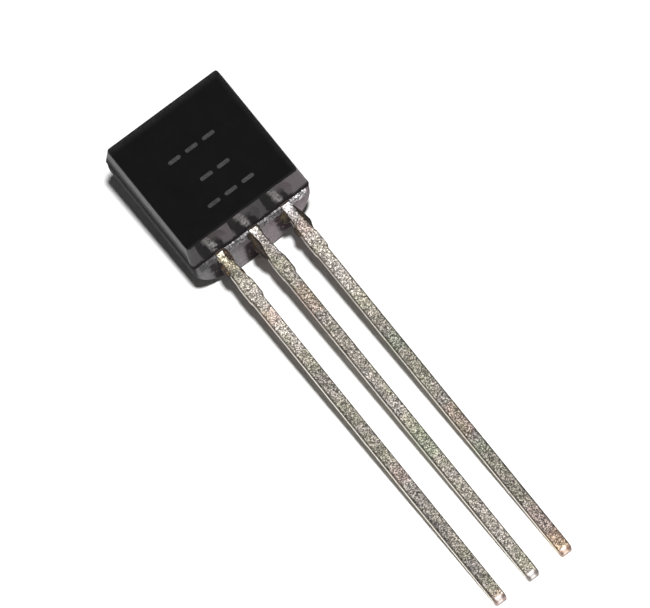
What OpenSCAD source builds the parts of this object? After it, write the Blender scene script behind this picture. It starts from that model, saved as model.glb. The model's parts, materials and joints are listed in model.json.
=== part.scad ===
// TO-92 transistor: three stamped leads, the chip and its bond wires, moulded into a drafted body.
//
// Package axes, before the part is laid down: x runs across the leads, y runs from the lead ends
// towards the top of the body, and z runs from the round back to the flat.
// The mould parts at z = 0. The front faces of the leads lie in that plane, and the leads leave the
// body at y = 0. The whole part is then tipped to lie on its round back and its lead ends, flat up.

/* [Moulded body] */
// Width at the parting line
body_w = 4.58; // [4.3:0.01:4.8]
// Length from the lead end to the top end
body_l = 4.66; // [4.4:0.01:4.8]
// Depth from the flat to the round back
body_d = 3.60; // [3.4:0.01:3.8]
// Depth of the drafted front half, from the flat to the parting line
front_d = 0.83; // [0.75:0.01:0.95]
// Draft of the two long sides of the front half, in degrees
side_draft = 9.2; // [5:0.1:11]
// Draft of the top end of the front half, in degrees
top_draft = 2.5; // [1:0.1:8]
// How far the back half is set in from the front half along the parting line
parting_step = 0.02; // [0.01:0.005:0.04]
// Rounding of the edges round the flat
flat_edge_r = 0.06; // [0.03:0.01:0.12]
// Rounding of the four upright corners of the front half
front_corner_r = 0.12; // [0.06:0.01:0.2]
// Rounding of the end rims of the round back
back_rim_r = 0.12; // [0.06:0.01:0.18]
// Width of the stub where the mould gate was broken off the top end
gate_w = 0.90; // [0.6:0.05:1.2]
// Thickness of the gate stub
gate_t = 0.16; // [0.1:0.01:0.2]
// How far the gate stub stands out
gate_l = 0.04; // [0.02:0.01:0.06]

/* [Lead end of the body] */
// How far the flat stops short of the lead end, where it turns down to the parting line
bevel_l = 0.40; // [0.3:0.01:0.5]
// Width of the scoop in the bevel over each lead
scoop_w = 0.92; // [0.7:0.01:1.05]
// Depth of each scoop below the bevel, at its round upper end
scoop_d = 0.12; // [0.06:0.01:0.16]
// How steeply each scoop runs out towards the parting line, in degrees
scoop_runout = 16; // [8:1:18]
// How far the trimmed land of moulding compound stands out between the leads
land_l = 0.06; // [0.02:0.01:0.08]
// How far the trimmed land stops short of each long side
land_margin = 0.22; // [0.15:0.01:0.35]

/* [Leads] */
// Pitch of the leads
lead_pitch = 1.27; // [1.25:0.01:1.29]
// Length of the leads outside the body
lead_l = 14.47; // [10:0.01:15]
// Width of a lead
lead_w = 0.43; // [0.4:0.01:0.5]
// Thickness of the lead frame
lead_t = 0.40; // [0.36:0.01:0.44]
// Width of the neck where a lead leaves the body
neck_w = 0.35; // [0.28:0.01:0.38]
// Length of the neck outside the body
neck_l = 0.50; // [0.3:0.01:0.6]
// Length over which the neck widens to the lead
flare_l = 0.42; // [0.2:0.01:0.5]
// Width across the stubs that the cut dam bar leaves
dam_w = 0.51; // [0.47:0.01:0.6]
// How far the cut stubs stand off the middle of the lead
dam_shift = 0.015; // [0:0.005:0.03]
// Where the dam bar started, measured from the body
dam_start = 1.12; // [1.1:0.01:1.3]
// Height of the dam bar along the lead
dam_l = 0.80; // [0.6:0.01:0.9]
// Length over which each stub rises out of the lead, on the side of the body
dam_rise = 0.20; // [0.05:0.01:0.3]

/* [Chip] */
// Side of the square chip
die_w = 0.60; // [0.4:0.01:0.7]
// Thickness of the chip
die_t = 0.20; // [0.15:0.01:0.25]
// Thickness of the solder under the chip
attach_t = 0.03; // [0.02:0.005:0.05]
// How far the solder spreads past the chip on each side
attach_spread = 0.05; // [0.03:0.01:0.08]
// Diameter of the two bond wires
wire_d = 0.05; // [0.04:0.005:0.06]
// Rise of a bond wire over the straight line between its ends
wire_rise = 0.34; // [0.25:0.01:0.4]

/* [Hidden] */
$fn = 64;
over = 0.5;

// Front half: how far its walls lean in by the time they reach the flat, and which way they face
side_inset = front_d * tan(side_draft);
top_inset = front_d * tan(top_draft);
bevel_angle = atan(front_d / bevel_l);
side_faces = [cos(side_draft), 0, sin(side_draft)];
top_faces = [0, cos(top_draft), sin(top_draft)];
bevel_faces = [0, -sin(bevel_angle), cos(bevel_angle)];

// Back half
back_w = body_w - 2 * parting_step;
back_l = body_l - parting_step;
back_d = body_d - front_d;
straight_d = back_d - back_w / 2;

// Each scoop is a round-ended groove that grows shallow as it runs down the bevel
bevel_run = norm([bevel_l, front_d]);
scoop_r = (pow(scoop_w / 2, 2) + pow(scoop_d, 2)) / (2 * scoop_d);
scoop_top = bevel_run - scoop_w / 2;

// Lead frame inside the body. A plate is [middle across, middle along, width, length].
emitter_x = -lead_pitch;
collector_x = lead_pitch;
emitter_post = [-1.20, 2.18, 0.84, 1.16];
base_post = [0, 1.20, 0.88, 0.66];
collector_flag = [0.56, 2.92, 2.12, 1.96];
locking_ear = [0, 0.75, 0.66, 0.26];
plate_corner_r = 0.10;
flag_neck_y = 1.15;
flag_neck_w = 0.80;
anchor_d = 0.34;
anchor_at = [1.24, 3.50];

// Chip, bond pads and bonds
die_at = [0.38, 3.00];
pad_w = 0.15;
pad_t = 0.01;
emitter_pad_at = die_at + [-0.13, 0.08];
base_pad_at = die_at + [0.08, -0.16];
emitter_stitch_at = [-1.12, 2.36];
base_stitch_at = [0.10, 1.22];
ball_d = 0.12;
ball_t = 0.05;
stitch_d = 0.14;
stitch_t = 0.04;
die_top = attach_t + die_t;
pad_top = die_top + pad_t;

// Resting pose: the rim of the round back and the lead ends touch the surface together
rim_z = back_d - back_rim_r;
reach_y = lead_l + back_rim_r;
reach_z = rim_z - lead_t;
rest_tilt = atan(reach_z / reach_y) + asin(back_rim_r / norm([reach_y, reach_z]));
lift = lead_l * sin(rest_tilt) + lead_t * cos(rest_tilt);
near_y = -lead_l * cos(rest_tilt);
far_y = (back_l - back_rim_r) * cos(rest_tilt) + rim_z * sin(rest_tilt) + back_rim_r;

// Lays a piece from package axes to where it rests, centred on x and y
module at_rest() {
    translate([0, -(near_y + far_y) / 2, lift])
        rotate([rest_tilt, 0, 0])
            children();
}

// Outline drawn across the part (x and z), swept along its whole length
module sweep_along(length) {
    translate([0, length + over, 0])
        rotate([90, 0, 0])
            linear_extrude(length + 2 * over)
                children();
}

// Outline drawn along the part (y and z), swept across its whole width
module sweep_across(width) {
    translate([-width / 2 - over, 0, 0])
        rotate([90, 0, 90])
            linear_extrude(width + 2 * over)
                children();
}

// What a fillet of radius r takes off a convex corner of an outline. The corner is at the origin,
// and its two lines leave it at the angles from_a and to_a, counter-clockwise round the material.
module corner_waste(from_a, to_a, r) {
    half = (to_a - from_a) / 2;
    middle = from_a + half;
    inward = [cos(middle), sin(middle)];
    difference() {
        polygon([
            -r * inward,
            r / tan(half) * [cos(from_a), sin(from_a)],
            r / tan(half) * [cos(to_a), sin(to_a)]
        ]);
        translate(r / sin(half) * inward)
            circle(r);
    }
}

// What a fillet of radius r takes off the edge between two flat walls, given a point on the edge
// and the way the two walls face
module edge_waste(at, faces_a, faces_b, r) {
    run = cross(faces_a, faces_b) / norm(cross(faces_a, faces_b));
    side = cross(run, faces_a);
    multmatrix([
        [faces_a.x, side.x, run.x, at.x],
        [faces_a.y, side.y, run.y, at.y],
        [faces_a.z, side.z, run.z, at.z],
        [0, 0, 0, 1]
    ])
        translate([0, 0, -2 * front_d])
            linear_extrude(4 * front_d)
                corner_waste(acos(faces_a * faces_b) + 90, 270, r);
}

// Rectangle with rounded corners, centred on x and standing on y = 0
module rounded_outline(width, length, r) {
    translate([-width / 2 + r, 0])
        square([width - 2 * r, length]);
    translate([-width / 2, r])
        square([width, length - 2 * r]);
    for (x = [-1, 1], y = [r, length - r])
        translate([x * (width / 2 - r), y])
            circle(r);
}

// Front half seen from the lead end: side walls that lean in to the flat
module front_section() {
    flat_w = body_w - 2 * side_inset;
    difference() {
        polygon([
            [-body_w / 2, 0], [body_w / 2, 0],
            [flat_w / 2, front_d], [-flat_w / 2, front_d]
        ]);
        for (m = [0, 1])
            mirror([m, 0])
                translate([flat_w / 2, front_d])
                    corner_waste(180, 270 + side_draft, flat_edge_r);
    }
}

// Front half seen from the side: the bevel at the lead end, the flat and the top wall
module front_profile() {
    flat_end = body_l - top_inset;
    difference() {
        polygon([[0, 0], [body_l, 0], [flat_end, front_d], [bevel_l, front_d]]);
        translate([flat_end, front_d])
            corner_waste(180, 270 + top_draft, flat_edge_r);
        translate([bevel_l, front_d])
            corner_waste(180 + bevel_angle, 360, flat_edge_r);
    }
}

module scoop() {
    rotate([bevel_angle, 0, 0])
        translate([0, scoop_top, scoop_r - scoop_d]) {
            sphere(scoop_r);
            rotate([90 - scoop_runout, 0, 0])
                cylinder(r = scoop_r, h = scoop_top + over);
        }
}

module front_half() {
    difference() {
        intersection() {
            sweep_along(body_l) front_section();
            sweep_across(body_w) front_profile();
        }
        for (m = [0, 1])
            mirror([m, 0, 0]) {
                edge_waste([body_w / 2, body_l, 0], side_faces, top_faces, front_corner_r);
                edge_waste([body_w / 2, 0, 0], side_faces, bevel_faces, front_corner_r);
            }
        for (lead = [-1:1])
            translate([lead * lead_pitch, 0, 0])
                scoop();
    }
}

// Back half: one outline, swept straight down from the parting line and then turned half round
module back_half() {
    translate([0, 0, -straight_d]) {
        linear_extrude(straight_d)
            rounded_outline(back_w, back_l, back_rim_r);
        rotate([-90, 0, 0])
            rotate_extrude(angle = 180)
                intersection() {
                    rounded_outline(back_w, back_l, back_rim_r);
                    square([back_w, back_l]);
                }
    }
}

// Where compound ran out between the leads as far as the dam bar, and was trimmed off
module trimmed_land() {
    land_w = body_w - 2 * land_margin;
    translate([-land_w / 2, -land_l, -lead_t])
        cube([land_w, land_l + over, lead_t]);
}

module gate_stub() {
    translate([-gate_w / 2, back_l - over, -gate_t])
        cube([gate_w, over + gate_l, gate_t]);
}

// Half of a lead's outline outside the body, from its end up to the neck
function shank_side(side) = [
    [side * lead_w / 2, -lead_l],
    [side * lead_w / 2, -dam_start - dam_l],
    [side * dam_w / 2 + dam_shift, -dam_start - dam_l],
    [side * dam_w / 2 + dam_shift, -dam_start - dam_rise],
    [side * lead_w / 2, -dam_start],
    [side * lead_w / 2, -neck_l - flare_l],
    [side * neck_w / 2, -neck_l]
];

// Lead from its cut end up to inner_y, inside the body
module shank(inner_y) {
    neck_end = [[neck_w / 2, inner_y], [-neck_w / 2, inner_y]];
    left = shank_side(-1);
    polygon(concat(shank_side(1), neck_end, [for (i = [len(left) - 1:-1:0]) left[i]]));
}

// Rounded plate of the lead frame
module plate(p) {
    translate([p[0], p[1] - p[3] / 2])
        rounded_outline(p[2], p[3], plate_corner_r);
}

module stamped() {
    translate([0, 0, -lead_t])
        linear_extrude(lead_t)
            children();
}

module emitter_frame() {
    stamped() {
        translate([emitter_x, 0]) {
            shank(emitter_post[1]);
            plate(locking_ear);
        }
        plate(emitter_post);
    }
}

module base_frame() {
    stamped() {
        shank(base_post[1]);
        plate(base_post);
    }
}

module collector_frame() {
    flag_right = collector_flag[0] + collector_flag[2] / 2;
    flag_bottom = collector_flag[1] - collector_flag[3] / 2;
    stamped()
        difference() {
            union() {
                translate([collector_x, 0]) {
                    shank(collector_flag[1]);
                    plate(locking_ear);
                }
                polygon([
                    [collector_x - neck_w / 2, flag_neck_y],
                    [collector_x + neck_w / 2, flag_neck_y],
                    [flag_right - plate_corner_r, flag_bottom + plate_corner_r],
                    [flag_right - flag_neck_w, flag_bottom + plate_corner_r]
                ]);
                plate(collector_flag);
            }
            translate(anchor_at)
                circle(d = anchor_d);
        }
}

module solder() {
    attach_w = die_w + 2 * attach_spread;
    translate([die_at.x - attach_w / 2, die_at.y - attach_w / 2, 0])
        cube([attach_w, attach_w, attach_t]);
}

module chip() {
    translate([die_at.x - die_w / 2, die_at.y - die_w / 2, attach_t])
        cube([die_w, die_w, die_t]);
    for (at = [emitter_pad_at, base_pad_at])
        translate([at.x - pad_w / 2, at.y - pad_w / 2, die_top])
            cube([pad_w, pad_w, pad_t]);
}

// Bond wire: a ball on the chip's pad, one arc of wire, and a stitch on the post
module bond(pad_at, stitch_at) {
    from = [pad_at.x, pad_at.y, pad_top + 0.6 * ball_t];
    reach = [stitch_at.x, stitch_at.y, 0.6 * stitch_t] - from;
    chord = norm(reach);
    arc_r = (pow(chord / 2, 2) + pow(wire_rise, 2)) / (2 * wire_rise);
    half_arc = asin(chord / 2 / arc_r);
    translate([pad_at.x, pad_at.y, pad_top])
        cylinder(d = ball_d, h = ball_t);
    translate(from)
        rotate([90, 0, atan2(reach.y, reach.x)])
            rotate([0, 0, asin(reach.z / chord)])
                translate([chord / 2, wire_rise - arc_r, 0])
                    rotate([0, 0, 90 - half_arc])
                        rotate_extrude(angle = 2 * half_arc)
                            translate([arc_r, 0])
                                circle(d = wire_d, $fn = 24);
    translate(stitch_at)
        cylinder(d = stitch_d, h = stitch_t);
}

module emitter_wire() {
    bond(emitter_pad_at, emitter_stitch_at);
}

module base_wire() {
    bond(base_pad_at, base_stitch_at);
}

// The compound fills every space round the lead frame, the chip and the wires
module moulded_body() {
    color("#1c1c1e")
        at_rest()
            difference() {
                union() {
                    front_half();
                    back_half();
                    trimmed_land();
                    gate_stub();
                }
                emitter_frame();
                base_frame();
                collector_frame();
                solder();
                chip();
                emitter_wire();
                base_wire();
            }
}

module emitter_lead() {
    color("#b9b4a8") at_rest() emitter_frame();
}

module base_lead() {
    color("#b9b4a8") at_rest() base_frame();
}

module collector_lead() {
    color("#b9b4a8") at_rest() collector_frame();
}

module die_attach() {
    color("#8e9296") at_rest() solder();
}

module silicon_die() {
    color("#4b5560") at_rest() chip();
}

module emitter_bond_wire() {
    color("#d9a93c") at_rest() emitter_wire();
}

module base_bond_wire() {
    color("#d9a93c") at_rest() base_wire();
}

moulded_body();
emitter_lead();
base_lead();
collector_lead();
die_attach();
silicon_die();
emitter_bond_wire();
base_bond_wire();
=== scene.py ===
"""TO-92 transistor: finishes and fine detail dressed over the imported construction.

Package axes are used throughout, in metres: x runs across the leads, y from the lead ends
towards the top of the body, and z out of the flat. The leads leave the body at y = 0, and the
mould parts at z = 0, flush with the front of the leads.
"""

import json
import math
import random

import bmesh
import bpy
from bpy.props import FloatProperty, FloatVectorProperty, IntProperty, PointerProperty
from mathutils import Euler, Matrix, Vector, noise


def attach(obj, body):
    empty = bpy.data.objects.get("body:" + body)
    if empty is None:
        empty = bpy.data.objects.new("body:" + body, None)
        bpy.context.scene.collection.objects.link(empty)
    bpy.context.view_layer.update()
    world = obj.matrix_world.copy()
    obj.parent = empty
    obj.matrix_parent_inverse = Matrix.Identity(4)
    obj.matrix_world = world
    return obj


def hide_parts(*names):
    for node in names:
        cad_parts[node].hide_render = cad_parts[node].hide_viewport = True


bl_info = {
    "name": "TO-92 Transistor Finisher",
    "version": (1, 0, 0),
    "blender": (4, 5, 0),
    "location": "3D View > Sidebar > TO-92",
    "description": "Dresses a moulded three-lead transistor with its plating, compound and marks",
    "category": "Object",
}

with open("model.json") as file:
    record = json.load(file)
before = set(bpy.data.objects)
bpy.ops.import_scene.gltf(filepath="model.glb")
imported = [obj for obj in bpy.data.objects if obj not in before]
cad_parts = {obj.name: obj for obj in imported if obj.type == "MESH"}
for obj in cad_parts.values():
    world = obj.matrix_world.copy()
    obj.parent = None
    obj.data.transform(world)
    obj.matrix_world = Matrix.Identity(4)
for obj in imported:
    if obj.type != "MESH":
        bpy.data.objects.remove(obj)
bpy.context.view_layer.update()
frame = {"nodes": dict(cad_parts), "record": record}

BODY = "root"
MM = 0.001
MOUNTS = {mount["name"]: mount for mount in frame["record"]["mounts"]}

# The construction's own sizes, which the added detail is set against
LEAD_PITCH = 1.27 * MM
LEAD_LENGTH = 14.47 * MM
LEAD_WIDTH = 0.43 * MM
LEAD_THICKNESS = 0.40 * MM
NECK_WIDTH = 0.35 * MM
NECK_LENGTH = 0.50 * MM
FLARE_LENGTH = 0.42 * MM
LAND_HEIGHT = 0.06 * MM
LAND_HALF_WIDTH = 2.07 * MM
BEVEL_LENGTH = 0.40 * MM
FLAT_LEVEL = 0.83 * MM
GATE_WIDTH = 0.90 * MM
GATE_THICKNESS = 0.16 * MM
GATE_TIP = 4.70 * MM
CHIP_TOP = 0.23 * MM

# Each lead and its place in the row, in pitches from the middle
LEADS = {"emitter_lead": -1, "base_lead": 0, "collector_lead": 1}
BOND_WIRES = ("emitter_bond_wire", "base_bond_wire")

# Corners that lie closer together than this are one corner
WELD = 0.0001 * MM


def package_axes():
    """Matrix that takes a point from package axes to where the part rests."""
    facing = Vector(MOUNTS["marking_flat"]["axis"]).normalized()
    along = -Vector(MOUNTS["base_lead_end"]["axis"]).normalized()
    lead_end = Vector(MOUNTS["base_lead_end"]["pos_m"])
    origin = lead_end + along * LEAD_LENGTH + facing * LEAD_THICKNESS / 2
    across = along.cross(facing)
    turned = Matrix((across, along, facing)).transposed().to_4x4()
    return Matrix.Translation(origin) @ turned


PACKAGE = package_axes()


# ------------------------------------------------------- nodes and shader maths


# Numbers of the sockets that share a name with others on a Mix node for colours
MIX_FACTOR, MIX_FIRST, MIX_SECOND, MIX_RESULT = 0, 6, 7, 2


def add_node(tree, kind, settings, sockets):
    """Adds a node: its settings first, then the values or links of its sockets.

    A list of links all goes to one socket, and a colour is given without its alpha.
    """
    made = tree.nodes.new(kind)
    for name, value in settings.items():
        if name == "stops":
            set_stops(made.color_ramp, value)
        else:
            setattr(made, name, value)
    for name, given in sockets.items():
        socket = made.inputs[name]
        for value in given if isinstance(given, list) else [given]:
            if isinstance(value, Value):
                tree.links.new(value.socket, socket)
            elif isinstance(value, bpy.types.NodeSocket):
                tree.links.new(value, socket)
            elif socket.type == "RGBA":
                socket.default_value = (*value, 1.0)
            else:
                socket.default_value = value
    return made


def set_stops(ramp, stops):
    """Gives a colour ramp its stops, each a position and a colour."""
    while len(ramp.elements) < len(stops):
        ramp.elements.new(0.5)
    for element, (position, colour) in zip(ramp.elements, stops):
        element.position = position
        element.color = (*colour, 1.0)


class Value:
    """A shader socket. Adding, subtracting and multiplying values adds Math nodes."""

    def __init__(self, finish, socket):
        self.finish = finish
        self.socket = socket

    def output(self, name):
        """Another output of the same node."""
        return Value(self.finish, self.socket.node.outputs[name])

    def __add__(self, other):
        return self.finish.math("ADD", self, other)

    def __radd__(self, other):
        return self.finish.math("ADD", other, self)

    def __sub__(self, other):
        return self.finish.math("SUBTRACT", self, other)

    def __rsub__(self, other):
        return self.finish.math("SUBTRACT", other, self)

    def __mul__(self, other):
        return self.finish.math("MULTIPLY", self, other)

    def __rmul__(self, other):
        return self.finish.math("MULTIPLY", other, self)

    def step(self, low, high):
        """0 at low, 1 at high, smooth between them. Low may be above high."""
        sockets = {"Value": self, "From Min": low, "From Max": high}
        return self.finish.node("ShaderNodeMapRange", {"interpolation_type": "SMOOTHSTEP"}, sockets)


class Finish:
    """A material and the nodes that make it, measured in package axes and millimetres."""

    def __init__(self, name, **constants):
        self.material = bpy.data.materials.new(name)
        self.material.use_nodes = True
        self.tree = self.material.node_tree
        self.tree.nodes.clear()
        self.shown = add_node(self.tree, "ShaderNodeOutputMaterial", {}, {}).inputs["Surface"]
        self.show(self.layer(constants))
        inverse = PACKAGE.inverted()
        self.place = self.node("ShaderNodeMapping", {"vector_type": "POINT"}, {
            "Vector": self.node("ShaderNodeTexCoord", {}, {}).output("Object"),
            "Location": inverse.translation / MM,
            "Rotation": inverse.to_euler(),
            "Scale": (1 / MM, 1 / MM, 1 / MM),
        })
        self.x = self.node("ShaderNodeSeparateXYZ", {}, {"Vector": self.place})
        self.y = self.x.output("Y")
        self.z = self.x.output("Z")

    def node(self, kind, settings, sockets):
        """The first output of a node that is added to the material."""
        return Value(self, add_node(self.tree, kind, settings, sockets).outputs[0])

    def math(self, operation, *values):
        """What a Math node makes of values."""
        return self.node("ShaderNodeMath", {"operation": operation}, dict(enumerate(values)))

    def from_lead(self):
        """How far across a place is from the middle of the nearest lead."""
        half_pitch = LEAD_PITCH / 2 / MM
        return self.math("WRAP", self.x, half_pitch, -half_pitch)

    def stretched(self, scale):
        """The place, stretched along each package axis."""
        sockets = {"Vector": self.place, "Scale": scale}
        return self.node("ShaderNodeMapping", {"vector_type": "POINT"}, sockets)

    def noise(self, per_mm, detail=2.0, roughness=0.5, place=None):
        """Cloudy noise from 0 to 1, with per_mm cells to the millimetre."""
        return self.node("ShaderNodeTexNoise", {}, {
            "Vector": place or self.place,
            "Scale": per_mm,
            "Detail": detail,
            "Roughness": roughness,
        })

    def cells(self, per_mm, place=None, randomness=1.0):
        """Distance to the nearest of scattered points; its Color output is random by cell."""
        sockets = {"Vector": place or self.place, "Scale": per_mm, "Randomness": randomness}
        return self.node("ShaderNodeTexVoronoi", {"feature": "F1"}, sockets)

    def split(self, colour, channel="Red"):
        """One channel of a colour."""
        parts = self.node("ShaderNodeSeparateColor", {}, {"Color": colour})
        return parts.output(channel)

    def scaled(self, colour, amount):
        """A colour made brighter or darker by a value."""
        return self.node("ShaderNodeVectorMath", {"operation": "SCALE"}, {0: colour, "Scale": amount})

    def ramp(self, factor, *stops):
        """Colours along a factor, each stop a position and a colour."""
        return self.node("ShaderNodeValToRGB", {"stops": stops}, {"Fac": factor})

    def blend(self, factor, first, second, mode="MIX"):
        """Mixes two colours."""
        settings = {"data_type": "RGBA", "blend_type": mode}
        sockets = {MIX_FACTOR: factor, MIX_FIRST: first, MIX_SECOND: second}
        return self.node("ShaderNodeMix", settings, sockets).output(MIX_RESULT)

    def bump(self, height, depth, strength, under=None):
        """Relief whose height from 0 to 1 stands depth metres deep, on top of what is under it."""
        sockets = {"Height": height, "Distance": depth, "Strength": strength}
        if under is not None:
            sockets["Normal"] = under
        return self.node("ShaderNodeBump", {}, sockets)

    def layer(self, constants):
        """Adds a shader with constants on its sockets, which drive feeds from then on."""
        named = {name.replace("_", " "): value for name, value in constants.items()}
        self.shader = add_node(self.tree, "ShaderNodeBsdfPrincipled", {}, named)
        return Value(self, self.shader.outputs["BSDF"])

    def show(self, surface):
        """Makes a shader what the material shows."""
        self.surface = surface
        self.tree.links.new(surface.socket, self.shown)

    def drive(self, **values):
        """Links what varies over the surface to the shader."""
        for name, value in values.items():
            self.tree.links.new(value.socket, self.shader.inputs[name.replace("_", " ")])
        return self.material

    def cover(self, factor, gloss, roughness, **values):
        """Covers what shows so far, where factor is 1, with a skin that has its own shader."""
        skin = self.layer({"Specular IOR Level": gloss, "Roughness": roughness})
        sockets = {"Fac": factor, 1: self.surface, 2: skin}
        self.show(self.node("ShaderNodeMixShader", {}, sockets))
        return self.drive(**values)


# ------------------------------------------------------------------- finishes


# Colours of the compound where it is broken, and of the light and shade painted on it
HOLLOW_BLACK = (0.004, 0.0032, 0.0035)
PAINTED_SEAM_SHADE = (0.002, 0.002, 0.002)
GLEAM_GREY = (0.28, 0.272, 0.260)
FILLER_GREY = (0.12, 0.117, 0.115)
BROKEN_GREY = Vector((0.42, 0.40, 0.41))
RIM_GREY = (0.018, 0.018, 0.019)


class BodyFaces:
    """Masks of the faces of the moulded body: 1 on a face, 0 off it."""

    def __init__(self, finish):
        flat = FLAT_LEVEL / MM
        fold = BEVEL_LENGTH / MM
        bevel_run = math.hypot(flat, fold)
        off_bevel = finish.z * (fold / bevel_run) - finish.y * (flat / bevel_run)
        front = finish.z.step(-0.015, 0.005)
        self.flat = finish.z.step(flat - 0.018, flat - 0.002) * finish.y.step(fold + 0.03, fold + 0.045)
        self.fold = finish.z.step(flat - 0.07, flat - 0.05) * finish.y.step(fold + 0.045, fold + 0.03)
        self.bevel = off_bevel.step(-0.16, -0.14) * finish.z.step(flat - 0.02, flat - 0.06) * front
        self.lead_end = finish.y.step(0.03, -0.01) * (1.0 - front)
        # Painted shade in a dark line along the parting plane, and the back half, which stands a little
        # proud there
        self.seam = finish.z.step(-0.035, -0.015) * finish.z.step(0.14, 0.03)
        self.ledge = finish.z.step(0.16, 0.0) * (1.0 - self.bevel)
        right_edge = finish.x.step(1.92, 2.22)
        top_edge = finish.y.step(4.30, 4.60)
        self.pale_edge = finish.math("MAXIMUM", right_edge, top_edge) * self.flat
        from_middle = finish.math("ABSOLUTE", finish.x)
        self.near_leads = from_middle.step(1.95, 1.85)
        self.middle_lead = from_middle.step(0.66, 0.60)


def bevel_shade(finish, faces, wander):
    """Light and shade painted on the bevel: where it is darkened, and where it is pale.

    Over each lead it is scooped, with a pale streak between two dark hollows, and a dark foot.
    It is painted on, not worn in, and it stays where it is when the light moves.
    """
    leaning = finish.from_lead() + finish.z * 0.28 + wander
    left_hollow = leaning.step(-0.58, -0.44) * leaning.step(-0.12, -0.22)
    right_hollow = leaning.step(0.04, 0.13) * leaning.step(0.36, 0.25) * finish.z.step(0.62, 0.20)
    hollow = finish.math("MAXIMUM", left_hollow, right_hollow) * faces.near_leads
    foot = (finish.z + wander).step(0.20, 0.08)
    dark = finish.math("MAXIMUM", hollow, foot) * faces.bevel
    streak = finish.math("ABSOLUTE", leaning + 0.03).step(0.15, 0.03)
    broken = finish.noise(11.0, 4.0, 0.65).step(0.40, 0.62)
    return dark, streak * broken * faces.bevel * faces.near_leads


def lead_shade(finish, faces, wander):
    """Shade painted on the lead end, in a patchy band behind each lead.

    It deepens the shadow that the lead throws there under the key light, and it stays where it is
    when the light moves. Behind the outer leads the band leans, and fades out before the rim of
    the back. Behind the middle one it starts further back and runs to the rim.
    """
    middle = faces.middle_lead
    across = finish.from_lead() + finish.z * 0.09 * (1.0 - middle) - middle * 0.13 + wander * 1.1
    band = across.step(-0.62, -0.46) * across.step(0.12, 0.0)
    start = (finish.z + middle * 0.48).step(-0.42, -0.72)
    end = finish.math("MAXIMUM", middle, finish.z.step(-2.9, -1.9))
    patchy = finish.noise(4.5, 4.0, 0.7).step(0.30, 0.48)
    return band * start * patchy * end * faces.lead_end * faces.near_leads


def lead_end_colour(finish, faces, grain, wander):
    """The grey of the lead end, with broken grain that goes on a little below the trimmed land."""
    cloud = finish.noise(2.6, 4.0, 0.65) * 0.5 + finish.x.step(-2.0, 1.2) * 0.30
    grey = finish.ramp(cloud, (0.25, (0.085, 0.082, 0.084)), (0.60, (0.160, 0.105, 0.124)))
    grey = finish.scaled(grey, 0.75 + grain * 0.5)
    tints = finish.cells(24.0, finish.stretched((1.0, 1.0, 0.35))).output("Color")
    broken = finish.split(tints).step(0.55, 0.60) * (finish.z + wander).step(-0.66, -0.52)
    glints = finish.scaled(BROKEN_GREY, finish.split(tints, "Green"))
    return finish.blend(broken * faces.near_leads, grey, glints)


def bevel_colour(finish, grain):
    """The grey of the bevel, which turns paler and darker again along the row of leads."""
    swell = finish.math("COSINE", (finish.x - 1.87) * 2.51)
    cloud = finish.noise(1.4, 3.0, 0.6) * 0.3 + swell * 0.12 + 0.33
    grey = finish.ramp(cloud, (0.36, (0.044, 0.042, 0.044)), (0.60, (0.090, 0.076, 0.081)))
    return finish.scaled(grey, 0.8 + grain * 0.4)


def moulding_compound(settings):
    """Black filled epoxy: deep matt black on the flat, spark-eroded and greyer on other faces.

    Some light and shade is painted on it, by bevel_shade, lead_shade and the dark parting line.
    """
    finish = Finish("moulding_compound", IOR=1.5, Specular_IOR_Level=settings.compound_gloss)
    faces = BodyFaces(finish)
    grain = finish.noise(26.0, 3.0, 0.6)
    mottle = finish.noise(1.7, 4.0, 0.6)
    blotches = finish.noise(7.0, 3.0, 0.6) - 0.5
    wander = finish.noise(5.0, 4.0, 0.6) * 0.26 - 0.13
    filler = finish.cells(34.0)
    specks = finish.split(filler.output("Color")).step(0.93, 0.97) * filler.step(0.32, 0.18)
    dark, streak = bevel_shade(finish, faces, wander)

    base = Vector(settings.compound_colour)
    deep = finish.ramp(mottle, (0.3, base * 0.05), (0.7, base * 0.35))
    eroded = finish.ramp(finish.noise(3.1, 4.0, 0.6), (0.3, base * 1.5), (0.72, base * 4.0))
    colour = finish.blend(faces.fold, eroded, deep)
    colour = finish.blend(faces.bevel, colour, bevel_colour(finish, grain))
    # Painted shade in the scoops' hollows and foot, and a painted highlight along each pale streak
    colour = finish.blend(dark * 0.94, colour, HOLLOW_BLACK)
    colour = finish.blend(streak * 0.9, colour, GLEAM_GREY)
    colour = finish.blend(faces.lead_end, colour, lead_end_colour(finish, faces, grain, wander))
    colour = finish.blend(specks * 0.25, colour, FILLER_GREY)
    # Painted shade: a dark line along the parting plane
    colour = finish.blend(faces.seam * 0.9, colour, PAINTED_SEAM_SHADE)

    sides = finish.z.step(0.56, 0.1) * finish.z.step(-1.5, -0.5) * (1.0 - faces.lead_end)
    rough = 0.33 + grain * 0.06 + sides * (1.0 - faces.bevel) * 0.58 + faces.fold * 0.55
    rough = rough + dark * 0.55 + faces.lead_end * 0.05 + blotches * (0.25 + faces.lead_end * 0.5)
    fine = finish.bump(grain, 0.0025 * MM, 0.55)
    uneven = finish.bump(finish.noise(5.0, 3.0), 0.004 * MM, 0.35, under=fine)
    relief = finish.bump(faces.ledge, 0.05 * MM, 1.0, under=uneven)
    finish.drive(Base_Color=colour, Roughness=rough, Normal=relief)

    # A dull skin of painted shade behind the leads and, fainter, along the parting line
    umber = finish.ramp(mottle, (0.3, (0.006, 0.003, 0.0045)), (0.7, (0.018, 0.010, 0.0135)))
    shaded = finish.math("MAXIMUM", lead_shade(finish, faces, wander), faces.seam * 0.4)
    finish.cover(shaded, gloss=0.05, roughness=0.9, Base_Color=umber, Normal=relief)

    # The flat is matt, and is painted a little greyer along its right and top edges
    matt = finish.blend(faces.pale_edge * grain.step(0.25, 0.65), deep, RIM_GREY)
    return finish.cover(
        faces.flat, settings.flat_gloss, settings.flat_roughness, Base_Color=matt, Normal=relief
    )


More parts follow.
